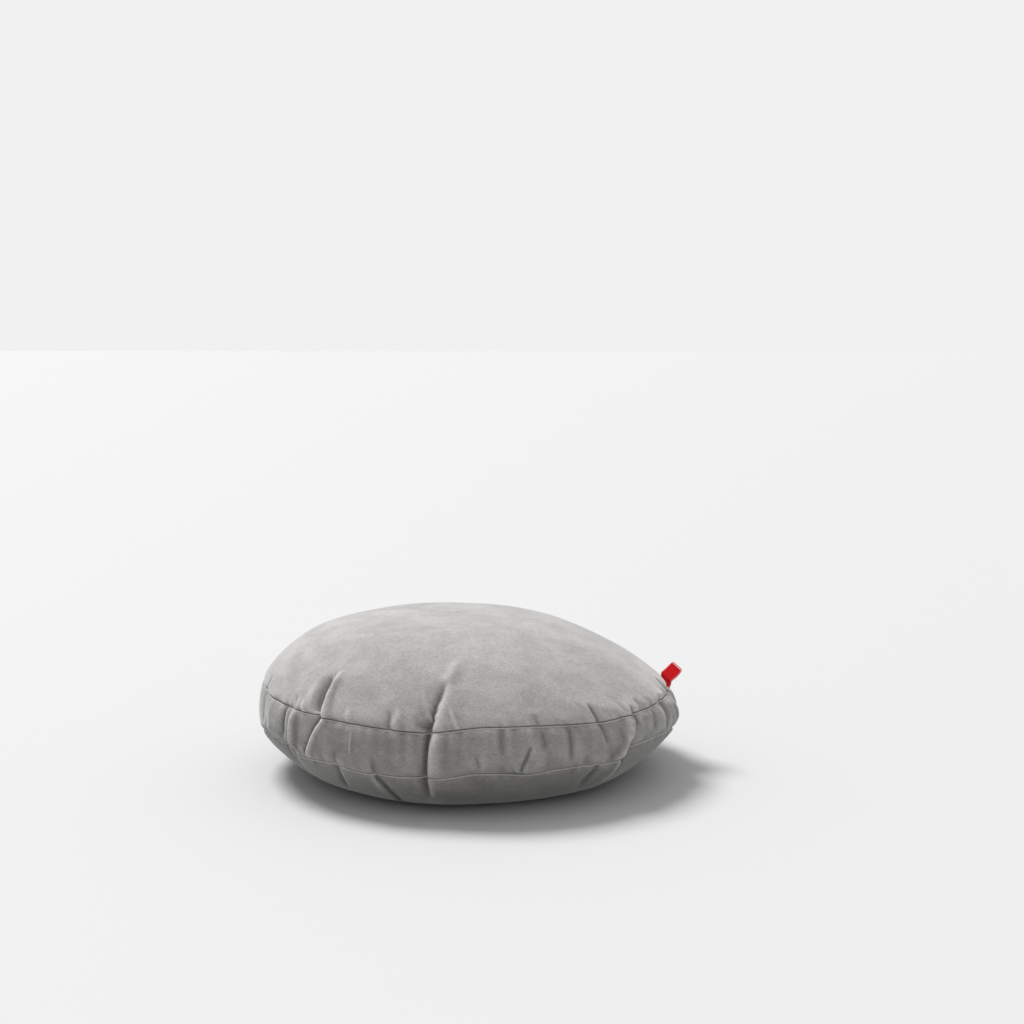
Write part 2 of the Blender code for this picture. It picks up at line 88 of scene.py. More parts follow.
# Cloth pass
CLOTH_FRAMES = 16
CUT_SLACK = 0.6              # share of the way from the resting circles to the circles of the flat cut
HOLD = 0.08                  # how strongly the cloth is held to the shape it starts from
LONGEST_MOVE = 0.008         # no corner goes further than this

# Zip
ZIP_DEG = (-74.0, 40.5)      # azimuths of the ends of the zip in the lower seam
SLIDER_DEG = (39.4, -72.6)   # azimuths of the slider, shut and open
TACK_DEG = -76.4             # azimuth of the bar of stitches at the front end
TAPE_STEPS = 240
COIL_TURNS = 420             # on each side
TAPE_WIDTH = 0.0130
TAPE_THICKNESS = 0.0005

# Tag
TAG_DEG = 7.0                # azimuth of its middle
TAG_LENGTH = 0.056           # along the seam
TAG_REACH = 0.020            # out from the seam
TAG_CORNER = 0.0065          # radius of its outer corners
TAG_DROP = 0.010             # from its fold down to where the upper seam holds it
TAG_LIFT = math.radians(45)  # how steeply it stands
TAG_THICKNESS = 0.0008

# Studio
SKY = 0.67                   # brightness overhead, and 35 in 100 more or less at the back and front
HORIZON = 0.88               # brightness near the floor
KEY_POWER = 3.55             # of the sun
KEY_SPREAD = 24              # width of the sun's disc in degrees
KEY_FROM = (-0.70, 0.85, 1.55)
FLOOR_GREY = 0.52
CAMERA_PLACE = (0.056, -1.983, 0.532)
CAMERA_DIP = 6.33            # degrees below level
CAMERA_LENS = 57.69          # millimetres, on a sensor 36 wide


# ---- numbers -----------------------------------------------------------------------------------

def turn_of(degrees, centre):
    """Signed angle from the centre azimuth, wrapped to half a turn each way."""
    return (degrees - centre + 180.0) % 360.0 - 180.0


def hump(x, width):
    """Smooth hump of height 1: exp of minus the square of x over width."""
    return np.exp(-(x / width) ** 2)


def ease(x):
    """Smooth step from 0 to 1 as x goes from 0 to 1: three times its square less twice its cube."""
    x = np.clip(x, 0, 1)
    return x * x * (3 - 2 * x)


def stretch(turn, start, full, fading, end):
    """1 between the azimuths full and fading, and eased down to 0 at start and end."""
    return ease((turn - start) / (full - start)) * ease((end - turn) / (end - fading))


def waves(phi, seed, low, high, power=1.0):
    """Sum of sines round the turn with seeded phases, each weaker by its order, scaled to about 1."""
    rng = np.random.default_rng(seed)
    total = np.zeros_like(phi)
    for n in range(low, high + 1):
        total += np.sin(n * phi + rng.uniform(0, 2 * math.pi)) / n ** power
    return total / np.std(total)


def unit(vectors, least=1e-12):
    """Vectors at length 1. Those shorter than the least length stay short."""
    return vectors / np.maximum(np.linalg.norm(vectors, axis=-1, keepdims=True), least)


def outward(turn):
    """Level unit vectors away from the middle of the cushion, by angle in radians."""
    return np.stack([np.cos(turn), np.sin(turn), 0 * turn], axis=1)


def above_floor(points):
    """The points, with any that lay under the floor lifted to it."""
    points[..., 2] = np.maximum(points[..., 2], 0.0)
    return points


PHI = np.linspace(0, 2 * math.pi, COLUMNS, endpoint=False)[None, :]
DEG = np.degrees(PHI)
OUT = outward(PHI[0])


# ---- creases -----------------------------------------------------------------------------------
# Each crease: azimuth of its start on the seam, then in millimetres: start across and away from the
# seam, end across and away, width on its left and right, height (minus for a valley), and how far it
# fades in and out. Away from the seam is up the dome, down the band or in under the base.
DOME_CREASES = (
    (-96.7, -9, 0, 34, 70, 11.5, 4.6, -10.5, 10, 34),
    (-96.7, -4, 14, 66, 118, 9, 9.0, 3.6, 26, 64),
    (-90.3, 0, 0, 0, 36, 3.0, 3.0, 1.5, 6, 20),
    (-107.7, 0, 0, 14, 32, 4, 5, 1.8, 6, 16),
    (-109.4, 0, 0, 10, 30, 6, 3, -1.8, 0, 14),
    (-130.5, 0, 0, 6, 70, 17, 3.2, -13.5, 12, 26),
    (-130.5, 5, -4, 14, 76, 3.4, 7, 4.6, 0, 24),
    (-130.5, -26, 4, -16, 52, 9, 8, 1.8, 12, 22),
    (-137.0, 0, 0, -2, 22, 4, 3, 2.0, 2, 10),
    (-141.0, 0, 0, 0, 28, 6, 3, -2.6, 0, 12),
    (-121.0, 0, 0, 4, 26, 4, 5, 1.4, 5, 12),
    (-50.3, 0, -2, -1, 27, 5, 2.2, -3.2, 0, 12),
    (-51.5, 0, 2, -2, 30, 3, 6, 0.9, 4, 12),
    (-69.4, 0, 0, 0, 18, 7, 5, -1.6, 0, 14),
    (-33.0, 0, 0, 2, 18, 5, 3, -1.8, 0, 8),
    (-163.0, 0, 0, 3, 34, 8, 3, -3.5, 0, 16),
    (158.0, 0, 0, 6, 58, 12, 3, -8.0, 0, 24),
    (158.0, -14, 4, 20, 84, 7, 6, 3.4, 18, 36),
    (118.0, 0, 0, -10, 46, 3, 10, -6.5, 0, 22),
    (118.0, 12, 4, -14, 66, 6, 7, 2.6, 14, 30),
    (71.0, 0, 0, 15, 56, 12, 3, -8.5, 0, 24),
    (71.0, -14, 4, 34, 90, 7, 6, 3.8, 18, 40),
    (28.0, 0, 0, -6, 30, 3, 7, -3.5, 0, 14),
    (-8.0, 0, 0, 3, 24, 6, 3, -2.4, 0, 12),
)
BAND_CREASES = (
    (-96.7, -6, 0, -11, 56, 13, 2.8, -11.0, 12, 0),
    (-96.7, 6, -4, 3, 56, 7, 7, 2.0, 0, 0),
    (-130.5, 0, 0, -25, 46, 10, 3.0, -12.0, 10, 8),
    (-130.5, 5, -4, -20, 48, 3, 8, 3.2, 0, 8),
    (-141.0, 0, -2, 0, 48, 4.2, 5.0, 5.5, 0, 8),
    (-144.8, 0, 0, -3, 42, 4, 3, -3.6, 0, 12),
    (-154.5, 0, 0, 0, 46, 10.2, 10.2, 2.0, 0, 8),
    (-162.0, 0, 0, 2, 44, 8.5, 6.8, -2.0, 0, 10),
    (-119.0, 0, 8, 0, 32, 1.0, 1.3, 0.8, 4, 4),
    (-122.5, 0, 10, -4, 44, 10.2, 8.5, -1.6, 10, 8),
    (-126.0, 0, 14, -4, 46, 8.5, 8.5, 1.0, 10, 6),
    (-86.0, 0, 30, 5, 46, 3.4, 2.7, -1.1, 6, 3),
    (-80.2, 0, 6, 3, 32, 8.5, 6.8, -1.3, 8, 12),
    (-74.9, 11, 22, 0, 49, 2.8, 1.6, -2.2, 10, 1),
    (-71.2, 2, 30, 4, 47, 8, 9, 1.8, 12, 4),
    (-69.0, 0, 0, 2, 30, 6.8, 5.1, -1.8, 0, 12),
    (-61.2, 0, 4, -2, 42, 6.8, 5.1, -1.8, 8, 10),
    (-50.3, 0, -2, 2, 32, 5.1, 8.5, -2.4, 0, 14),
    (-37.7, 0, -4, -34, 56, 15, 1.5, 4.5, 0, 0),
    (-29.0, 0, 2, -3, 40, 6.8, 5.1, -2.0, 4, 12),
    (-20.0, 0, 0, -4, 44, 8.5, 5.1, -2.4, 0, 10),
    (-12.0, 0, 0, 2, 44, 5.1, 6.8, 1.8, 0, 10),
    (-4.0, 0, 2, 0, 40, 6.8, 6.8, -1.8, 4, 10),
    (158.0, 0, -4, -8, 50, 12, 3, -8.0, 0, 6),
    (118.0, 0, -4, 14, 50, 3, 10, -6.5, 0, 8),
    (71.0, 0, -4, -6, 52, 12, 3, -8.0, 0, 4),
    (28.0, 0, -2, 4, 40, 3, 7, -3.5, 0, 12),
    (95.0, 0, 4, 2, 40, 8.5, 6.8, -1.8, 6, 10),
    (136.0, 0, 2, -3, 42, 6.8, 8.5, -2.2, 4, 10),
    (50.0, 0, 4, 3, 36, 6.8, 5.1, -1.6, 6, 10),
    (176.0, 0, 0, 0, 42, 8.5, 6.8, -2.2, 0, 10),
)
BASE_CREASES = (
    (-96.7, -11, -4, -9, 34, 9, 3, -4.5, 0, 22),
    (-113.0, 0, -2, 20, 76, 2.4, 16, -5.0, 0, 26),
    (-124.0, 0, -2, -8, 52, 14, 3, -4.5, 0, 24),
    (-52.0, 0, -2, -10, 60, 24, 12, -6.5, 0, 34),
    (-44.5, 0, -4, -12, 46, 12, 1.6, 2.6, 0, 16),
    (-80.0, 0, 2, 3, 50, 16, 14, 2.0, 14, 30),
    (-146.0, 0, -2, 6, 50, 12, 4, -5.0, 0, 22),
    (158.0, -8, -4, 0, 48, 12, 4, -6.0, 0, 24),
    (118.0, 10, -4, 4, 44, 4, 11, -5.0, 0, 22),
    (71.0, -6, -4, 4, 50, 12, 4, -6.0, 0, 24),
    (12.0, 0, -2, 6, 40, 6, 10, -4.0, 0, 22),
    (-16.0, 0, -2, -4, 38, 9, 5, -3.5, 0, 20),
)
VALLEY_POWER = 1.4           # keeps the floor of a valley sharp
RIDGE_POWER = 2.0            # keeps the top of a ridge round
PAST_END = 20                # millimetres a crease with no fade runs on past its end


def creases(table, away):
    """Outward push in metres of a table of creases at a distance from the seam.

    Each is a straight run over the cloth. Across it the push falls as exp of minus a power of the
    share of the width, and along it the push is eased in and out.
    """
    total = np.zeros(np.broadcast(PHI, away).shape)
    far = away * 1000
    for at, x0, d0, x1, d1, left, right, height, fade_in, fade_out in table:
        arc = np.radians(turn_of(DEG, at)) * SEAM_RADIUS * 1000
        length = math.hypot(x1 - x0, d1 - d0)
        ux, ud = (x1 - x0) / length, (d1 - d0) / length
        along = (arc - x0) * ux + (far - d0) * ud
        aside = (arc - x0) * ud - (far - d0) * ux
        width = np.where(aside < 0, left, right)
        shape = np.exp(-(np.abs(aside) / width) ** (VALLEY_POWER if height < 0 else RIDGE_POWER))
        start = ease((along + 0.5 * fade_in) / fade_in) if fade_in else along > -PAST_END
        end = ease((length - along) / fade_out) if fade_out else along < length + PAST_END
        total += height * shape * start * end
    return total / 1000


def seam_push(table, place=0.0):
    """Push of a table of creases by column, at one distance from the seam it is measured from."""
    return creases(table, np.full((1, 1), place))[0]


# ---- seams -------------------------------------------------------------------------------------
# Stretches where a seam leaves its circle: by how much, then the azimuths where it sets in, is full,
# starts to fade and ends. The upper seam sags at the front left. The lower one sags under that, rides
# up behind the left lobe and behind the right pleat, and stands out behind the pleat.
TOP_RISES = ((-0.0085, -180, -154, -101, -83),)
LOW_RISES = ((-0.0055, -129, -115, -96, -85), (0.008, -172, -158, -142, -139),
             (0.010, -45, -42.5, -26, 4))
LOW_SWELLS = ((0.005, -50, -38, 4, 22),)


def stretches(table, turn):
    """Sum of a table of stretches by column."""
    return sum(size * stretch(turn, *ends) for size, *ends in table)


def ring_at(radius, height):
    """Points at a radius and height by column."""
    return np.stack([radius * np.cos(PHI[0]), radius * np.sin(PHI[0]), height], axis=1)


def seam_lines():
    """Points of both seams round the turn, and the push of their creases.

    The upper seam is a circle tilted to the tag's side and the lower one a level circle. Both waver
    by a millimetre, leave their circles in some stretches, and give way at their creases, with the
    mean of the pushes on the two sides of the seam.
    """
    top_push = 0.5 * (seam_push(DOME_CREASES) + seam_push(BAND_CREASES))
    low_push = 0.5 * (seam_push(BAND_CREASES, BAND) + seam_push(BASE_CREASES))
    phi = PHI[0]
    turn = turn_of(DEG[0], 0)
    top_r = SEAM_RADIUS + 0.0020 * np.cos(phi) + 0.0010 * waves(phi, 3, 2, 7, 1.2) + top_push
    top_z = SEAM_LIFT - SEAM_TILT * np.cos(phi) + 0.0010 * waves(phi, 4, 2, 9) + SEAM_RISE * top_push
    top_z = top_z + stretches(TOP_RISES, turn) - 0.0030 * hump(turn + 46, 16.0)
    low_r = LOW_RADIUS + 0.0010 * waves(phi, 5, 2, 7, 1.2) + LOW_GIVE * low_push
    low_r = low_r + stretches(LOW_SWELLS, turn)
    low_z = LOW_LIFT + 0.0008 * waves(phi, 6, 2, 9) - 0.15 * low_push + stretches(LOW_RISES, turn)
    return ring_at(top_r, top_z), ring_at(low_r, low_z), top_push, low_push


# ---- surfaces ----------------------------------------------------------------------------------

def normals_of(points):
    """Unit outward normals of a closed ring of columns, from central differences both ways."""
    around = np.roll(points, -1, axis=1) - np.roll(points, 1, axis=1)
    return unit(np.cross(np.gradient(points, axis=0), around))


def distance_rows(points, from_last):
    """Mean distance of each row along the panel from its seam row, the last or the first."""
    step = np.linalg.norm(np.diff(points, axis=0), axis=2).mean(axis=1)
    if from_last:
        return np.concatenate([np.cumsum(step[::-1])[::-1], [0]])[:, None]
    return np.concatenate([[0], np.cumsum(step)])[:, None]


def pushed(points, push, away):
    """Points pushed along their normals, and within a centimetre of the seam straight outwards."""
    near = np.exp(-away / 0.010)[:, :, None]
    way = unit(normals_of(points) * (1 - near) + OUT[None] * near, 1e-9)
    return points + way * push[:, :, None]


def seam_puckers(seed, away):
    """Small waves along a seam where the cloth is eased in, fading within two centimetres."""
    size = 0.5 + 0.5 * ease(0.5 + 0.5 * waves(PHI, seed, 3, 11, 0.6))
    fine = 0.00018 * waves(PHI, seed + 1, 60, 130, 0.0) * np.exp(-away / 0.006)
    fade = np.exp(-(away / 0.016) ** 1.5) * ease(away / 0.002)
    broad = 0.00045 * waves(PHI, seed + 2, 22, 48, 0.3) * fade
    return (fine + broad) * size


def dome_points(top_line, top_push):
    """Top panel: its height falls from the crown to the seam with the cube of the share of the radius.

    Rows are closer near the seam. The crown leans away from the tag, and low lumps lie on it, each a
    product of two sines.
    """
    t = (1 - (1 - np.linspace(0, 1, TOP_ROWS + 1)) ** 1.75)[:, None]
    lean = np.stack([DOME_LEAN * (1 - t ** 7), 0 * t], axis=2)
    flat = top_line[None, :, :2] * t[:, :, None] + lean
    level = (top_line[None, :, 2] - SEAM_RISE * top_push) * t ** 2 + SEAM_LIFT * (1 - t ** 2)
    height = level + (DOME_TOP - SEAM_LIFT) * (1 - t ** 3)
    points = np.concatenate([flat, height[:, :, None]], axis=2)
    away = distance_rows(points, True)
    near = np.exp(-away / SEAM_FADE)
    x, y = points[:, :, 0], points[:, :, 1]
    lumps = 0.0013 * np.sin(31 * x + 1.3 * np.sin(17 * y)) * np.sin(27 * y + 0.7) * ease(away / 0.05)
    folds = creases(DOME_CREASES, away) - seam_push(DOME_CREASES) * near
    points = pushed(points, folds + lumps + seam_puckers(11, away), away)
    return points + OUT[None] * (top_push[None] * (near - t))[:, :, None]


def band_points(top_line, low_line, top_push, low_push):
    """Side band: a straight chord between the seams with a parabola's bulge, pushed by its creases.

    Rows are closer near both seams. The bulge is greater on the tag's side.
    """
    t = np.linspace(0, 1, BAND_ROWS + 1)[:, None]
    t = 0.5 - 0.5 * np.cos(math.pi * t) * (1 - 0.15 * np.sin(math.pi * t))
    chord = top_line[None] * (1 - t)[:, :, None] + low_line[None] * t[:, :, None]
    drop = t * BAND
    own = creases(BAND_CREASES, drop)
    near_top, near_low = np.exp(-drop / SEAM_FADE), np.exp(-(BAND - drop) / SEAM_FADE)
    top_part, low_part = top_push[None], LOW_GIVE * low_push[None]
    in_chord = top_part * (1 - t) + low_part * t
    follow = top_part * near_top + low_part * near_low
    folds = own - own[:1] * near_top - own[-1:] * near_low
    bulge = 4 * BULGE * (1 + 0.7 * np.cos(PHI)) * t * (1 - t)
    soft = 0.0008 * np.sin(math.pi * t) * waves(PHI, 21, 9, 26, 0.4)
    push = follow - in_chord + folds + bulge + soft
    push = push + seam_puckers(31, drop) + seam_puckers(41, BAND - drop)
    return chord + OUT[None] * push[:, :, None]


def base_points(low_line, low_push):
    """Underside: curls in from the lower seam to the flat part, with the power 2.2 of the share left."""
    t = np.linspace(0, 1, BASE_ROWS + 1)[:, None] ** 1.35
    r0 = np.linalg.norm(low_line[:, :2], axis=1)[None] - LOW_GIVE * low_push[None]
    r = r0 * (1 - t)
    curl = np.clip((r - REST_RADIUS) / (r0 - REST_RADIUS), 0, 1)
    points = np.stack([r * np.cos(PHI), r * np.sin(PHI), low_line[None, :, 2] * curl ** 2.2], axis=2)
    away = distance_rows(points, False)
    near = np.exp(-away / SEAM_FADE)
    folds = (creases(BASE_CREASES, away) - seam_push(BASE_CREASES) * near) * curl ** 0.5
    points = pushed(points, folds + seam_puckers(51, away) * curl, away)
    return above_floor(points + OUT[None] * (LOW_GIVE * low_push[None] * near)[:, :, None])


# ---- cloth pass --------------------------------------------------------------------------------

def ring_quads(index):
    """Corners of the faces between neighbouring rows of a closed ring of point numbers."""
    side = np.roll(index, -1, axis=1)
    return np.stack([index[:-1], index[1:], side[1:], side[:-1]], axis=2)


def capped(rows):
    """Rows of a closed ring as one list of corners, with the first and last row each one corner."""
    return np.concatenate([rows[0, :1], rows[1:-1].reshape(-1, rows.shape[2]), rows[-1, :1]])


def capped_faces(rows, columns):
    """Faces of such a list, by row and column, with a fan at each end."""
    inner = (rows - 2) * columns
    index = np.zeros((rows, columns), int)
    index[1:-1] = 1 + np.arange(inner).reshape(rows - 2, columns)
    index[-1] = 1 + inner
    quads = ring_quads(index)
    first = quads[0][:, [0, 1, 2]].tolist()
    last = quads[-1][:, [0, 1, 3]].tolist()
    return first + quads[1:-1].reshape(-1, 4).tolist() + last


def cut_pattern(rows, seam_rows):
    """The cover as it was cut, as a stack of cones with the same slant lengths.

    Each row's circle is let out towards its circle in the flat cut, where a panel's radius is its
    distance from the middle, so the cloth is eased in at the seams.
    """
    step = np.linalg.norm(np.diff(rows, axis=0), axis=2).mean(axis=1)
    s = np.concatenate([[0], np.cumsum(step)])
    first, second = s[seam_rows[0]], s[seam_rows[1]]
    now = np.linalg.norm(rows[:, :, :2], axis=2).mean(axis=1)
    cut = np.interp(s, [0, first, second, s[-1]], [0, first, s[-1] - second, 0])
    radius = now + CUT_SLACK * (cut - now)
    falls = np.sqrt(np.maximum(step ** 2 - np.diff(radius) ** 2, 0))
    height = -np.concatenate([[0], np.cumsum(falls)])
    angle = np.arctan2(rows[1, :, 1], rows[1, :, 0])
    return np.stack([radius[:, None] * np.cos(angle), radius[:, None] * np.sin(angle),
                     np.repeat(height[:, None], rows.shape[1], axis=1)], axis=2)


def settle(rows, seam_rows):
    """Moves of a coarse copy of the cover as its cloth settles over the filling, by row and column.

    The cloth starts in the set shape, wants to be its flat cut, and is blown out by a light pressure.
    It is held weakly everywhere, and fully where it lies on the floor.
    """
    shown, cut = capped(rows), capped(cut_pattern(rows, seam_rows))
    data = bpy.data.meshes.new("settling_cloth")
    data.from_pydata(shown.tolist(), [], capped_faces(*rows.shape[:2]))
    cloth = placed("settling_cloth", data)
    cloth.shape_key_add(name="Basis")
    key = cloth.shape_key_add(name="cut")
    key.data.foreach_set("co", cut.ravel())
    lies = shown[:, 2] < 0.0005
    group = cloth.vertex_groups.new(name="hold")
    group.add(np.nonzero(~lies)[0].tolist(), HOLD, "REPLACE")
    group.add(np.nonzero(lies)[0].tolist(), 1.0, "REPLACE")
    sim = cloth.modifiers.new("settling", "CLOTH")
    make = sim.settings
    make.rest_shape_key = key
    make.quality = 6
    make.mass = 0.2
    make.tension_stiffness = 20
    make.compression_stiffness = 20
    make.shear_stiffness = 4
    make.bending_stiffness = 1.5
    make.tension_damping = 8
    make.compression_damping = 8
    make.air_damping = 2
    make.vertex_group_mass = "hold"
    make.pin_stiffness = 1.0
    make.use_pressure = True
    make.uniform_pressure_force = 3.0
    make.effector_weights.gravity = 0
    sim.collision_settings.use_collision = False
    sim.point_cache.frame_end = CLOTH_FRAMES
    scene = bpy.context.scene
    scene.frame_start, scene.frame_end = 1, CLOTH_FRAMES
    for number in range(1, CLOTH_FRAMES + 1):
        scene.frame_set(number)
    found = cloth.evaluated_get(bpy.context.evaluated_depsgraph_get()).to_mesh()
    flat = np.empty(len(shown) * 3)
    found.vertices.foreach_get("co", flat)
    move = flat.reshape(-1, 3) - shown
    size = np.linalg.norm(move, axis=1, keepdims=True)
    move *= np.minimum(1, LONGEST_MOVE / np.maximum(size, 1e-9))
    bpy.data.objects.remove(cloth)
    scene.frame_set(1)
    full = np.zeros_like(rows)
    full[0], full[-1] = move[0], move[-1]
    full[1:-1] = move[1:-1].reshape(rows.shape[0] - 2, rows.shape[1], 3)
    return full


def spread(move, picked, count, columns):
    """A coarse field brought to every row and column: straight down the rows, Catmull-Rom round them."""
    rows = np.stack([[np.interp(np.arange(count), picked, move[:, j, k]) for k in range(3)]
                     for j in range(move.shape[1])], axis=0).transpose(2, 0, 1)
    share = columns // move.shape[1]
    f = (np.arange(columns) % share)[None, :, None] / share
    base = np.arange(columns) // share
    p = [rows[:, (base + k) % move.shape[1]] for k in (-1, 0, 1, 2)]
    return (p[1] + 0.5 * f * (p[2] - p[0] + f * (2 * p[0] - 5 * p[1] + 4 * p[2] - p[3]
            + f * (3 * (p[1] - p[2]) + p[3] - p[0]))))


def meet_slider(rows, seam):
    """The lower seam brought to its circle in the frame where the slider stands at both ends of its way.

    The move falls off as a hump round the turn and with the distance from the seam.
    """
    circle = OUT * LOW_RADIUS + [0, 0, LOW_LIFT]
    step = np.linalg.norm(np.diff(rows, axis=0), axis=2).mean(axis=1)
    far = np.abs(np.concatenate([[0], np.cumsum(step)]) - np.sum(step[:seam]))[:, None, None]
    share = np.maximum(*[hump(turn_of(DEG[0], place), 5.0) for place in SLIDER_DEG])
    move = (circle - rows[seam]) * share[:, None]
    return rows + move[None] * np.exp(-far / SEAM_FADE)


def cover_grid():
    """Rows of the dome, band and underside, settled as one sheet of cloth.
    """
    top_line, low_line, top_push, low_push = seam_lines()
    dome = dome_points(top_line, top_push)
    band = band_points(dome[-1], low_line, top_push, low_push)
    base = base_points(low_line, low_push)
    base += (band[-1] - base[0])[None] * np.exp(-distance_rows(base, False) / 0.006)[:, :, None]
    rows = np.concatenate([dome, band[1:], above_floor(base)[1:]])
    first, second = TOP_ROWS, TOP_ROWS + BAND_ROWS
    picked = np.unique(np.concatenate([np.arange(0, first, 2), [first],
                                       np.arange(first + 3, second, 3), [second],
                                       np.arange(second + 2, len(rows), 2), [len(rows) - 1]]))
    seam_rows = np.searchsorted(picked, (first, second))
    moves = settle(rows[picked][:, ::COARSE], seam_rows)
    rows = above_floor(rows + spread(moves, picked, len(rows), COLUMNS))
    rows = meet_slider(rows, second)
    return rows[:first + 1], rows[first:second + 1], rows[second:]


# ---- sewing ------------------------------------------------------------------------------------

def sewn(points):
    """A panel drawn in at its last row: back from the seam by the rolled edge, and into the cushion.

    The rolled edge is a quarter circle, and two rows inside the cushion follow it.
    """
    along = unit(points[-1] - points[-4])
    away = distance_rows(points, True)[:, :, None]
    back = ROLL * np.exp(-away / DRAWN)
    deep = TUCK * np.exp(-(away / DRAWN) ** 1.3)
    drawn = above_floor(points - along[None] * back - OUT[None] * deep)
    turn = np.linspace(0, math.pi / 2, 6)[1:, None, None]
    edge = drawn[-1][None] + ROLL * (along[None] * np.sin(turn) - OUT[None] * (1 - np.cos(turn)))
    inside = edge[-1][None] - OUT[None] * np.array([0.0025, 0.0060])[:, None, None]
    return np.concatenate([drawn, edge, inside])


def sewn_both(band):
    """The band sewn at its lower edge and at its upper edge, its two halves meeting in the middle."""
    half = len(band) // 2
    low = sewn(band)[half:]
    high = sewn(band[::-1])[half + 1:][::-1]
    return np.concatenate([high, low])


def relief_of(points):
    """How far each point stands out from the cloth one, two and four columns to either side.

    Each of the three is its distance over a size in metres, held between -1 and 1, and their mean is
    the relief. A column is about two millimetres at the seams. The velvet paints the relief as shade
    in the creases and as highlights on the ridges.
    """
    normal = normals_of(points)
    normal *= np.sign(np.sum(normal * (points - [0, 0, 0.09]), axis=2, keepdims=True))
    total = 0
    for step, size in ((1, 0.0007), (2, 0.0020), (4, 0.0050)):
        middle = 0.5 * (np.roll(points, step, axis=1) + np.roll(points, -step, axis=1))
        total = total + np.clip(np.sum((points - middle) * normal, axis=2) / size, -1, 1) / 3
    return total


def painted_seam_edge_light(level):
    """Painted light and shade for the last eight rows of a sewn panel: its rolled edge at a level,
    painted highlight above 0 and painted shade below, and the tuck dark with painted shade.
    """
    return np.array([0.5 * level, level, level, -1, -1, -1, -1, -1])[:, None]


def on_line(line, degrees):
    """Points of a seam line at the given azimuths."""
    return np.stack([np.interp(degrees, DEG[0], line[:, k], period=360) for k in range(3)], axis=1)


def along_line(line, degrees):
    """Unit vectors along a seam line at the given azimuths."""
    return unit(on_line(line, degrees + 0.3) - on_line(line, degrees - 0.3))


# ---- meshes ------------------------------------------------------------------------------------

def placed(name, data):
    """A new object in the scene."""
    made = bpy.data.objects.new(name, data)
    bpy.context.scene.collection.objects.link(made)
    return made


def put_mesh(name, points, faces, painted_light_shade=None):
    """A smooth piece from its points and faces, with its painted light and shade kept for the velvet to
    read.

    Loose corners are dropped, and every face is turned outwards.
    """
    data = bpy.data.meshes.new(name)
    data.from_pydata(points.reshape(-1, 3).tolist(), [], faces)
    data.update()
    if painted_light_shade is not None:
        data.attributes.new("painted_light_shade", "FLOAT", "POINT").data.foreach_set("value", painted_light_shade.ravel())
    work = bmesh.new()
    work.from_mesh(data)
    bmesh.ops.delete(work, geom=[v for v in work.verts if not v.link_faces], context="VERTS")
    bmesh.ops.recalc_face_normals(work, faces=work.faces)
    work.to_mesh(data)
    work.free()
    data.polygons.foreach_set("use_smooth", [True] * len(data.polygons))
    return placed(name, data)


def ring_mesh(name, points, painted_light_shade=None, pole_first=False, pole_last=False):
    """Mesh from rows of a closed ring of columns, with a row drawn to one point where asked."""
    rows, columns, _ = points.shape
    index = np.arange(rows * columns).reshape(rows, columns)
    quads = ring_quads(index)
    faces = quads[int(pole_first):rows - 1 - int(pole_last)].reshape(-1, 4).tolist()
    if pole_first:
        faces += [[0, b, c] for _, b, c, _ in quads[0].tolist()]
    if pole_last:
        end = int(index[-1, 0])
        faces += [[a, end, d] for a, _, _, d in quads[-1].tolist()]
    return put_mesh(name, points, faces, painted_light_shade)


def beads(name, centres, along, length, thick):
    """Small closed ellipsoids at the centres, their long axes along the given directions."""
    polar = np.linspace(0, math.pi, 5)[:, None]
    round_way = np.linspace(0, 2 * math.pi, 7)[:-1][None]
    ball = capped(np.stack([np.cos(polar) + 0 * round_way, np.sin(polar) * np.cos(round_way),
                            np.sin(polar) * np.sin(round_way)], axis=2))
    side = unit(np.cross(along, [0, 0, 1.0]))
    up = np.cross(side, along)
    points = centres[:, None]
    for k, (size, way) in enumerate(((length, along), (thick, side), (thick, up))):
        points = points + 0.5 * size * ball[None, :, k:k + 1] * way[:, None]
    faces = capped_faces(5, 6)
    every = [[v + k * len(ball) for v in face] for k in range(len(centres)) for face in faces]
    return put_mesh(name, points, every)


def strip(name, corners):
    """A closed bar: the four corners of its section at each station, with a flat end at both ends."""
    index = np.arange(len(corners) * 4).reshape(len(corners), 4)
    faces = ring_quads(index).reshape(-1, 4).tolist()
    faces += [index[0, ::-1].tolist(), index[-1].tolist()]
    made = put_mesh(name, corners, faces)
    made.data.polygons.foreach_set("use_smooth", [False] * len(made.data.polygons))
    return made


def thicken(piece, thickness, offset=-1.0):
    """Gives an open cloth its thickness, inwards unless another offset is given."""
    wall = piece.modifiers.new("thickness", "SOLIDIFY")
    wall.thickness = thickness
    wall.offset = offset


# ---- materials ---------------------------------------------------------------------------------

def set_inputs(node, values):
    """Sets a node's inputs by name, where an underscore stands for a space."""
    for name, value in values.items():
        node.inputs[name.replace("_", " ")].default_value = value


def new_material(name, **constants):
    """A material with its shader's constants set, and its node tree and shader."""
    made = bpy.data.materials.new(name)
    made.use_nodes = True
    shader = made.node_tree.nodes["Principled BSDF"]
    set_inputs(shader, constants)
    return made, made.node_tree, shader


def add_node(tree, kind, **values):
    """A new shader node with its inputs set."""
    node = tree.nodes.new("ShaderNode" + kind)
    set_inputs(node, values)
    return node


def noise(tree, scale, detail, rough=0.5, distortion=0.0, finer=(1, 1, 1)):
    """Noise over the piece's own coordinates, finer along each axis by the given factor."""
    mapping = add_node(tree, "Mapping", Scale=finer)
    tree.links.new(tree.nodes.new("ShaderNodeTexCoord").outputs["Object"], mapping.inputs["Vector"])
    made = add_node(tree, "TexNoise", Scale=scale, Detail=detail, Roughness=rough, Distortion=distortion)
    tree.links.new(mapping.outputs["Vector"], made.inputs["Vector"])
    return made.outputs["Fac"]


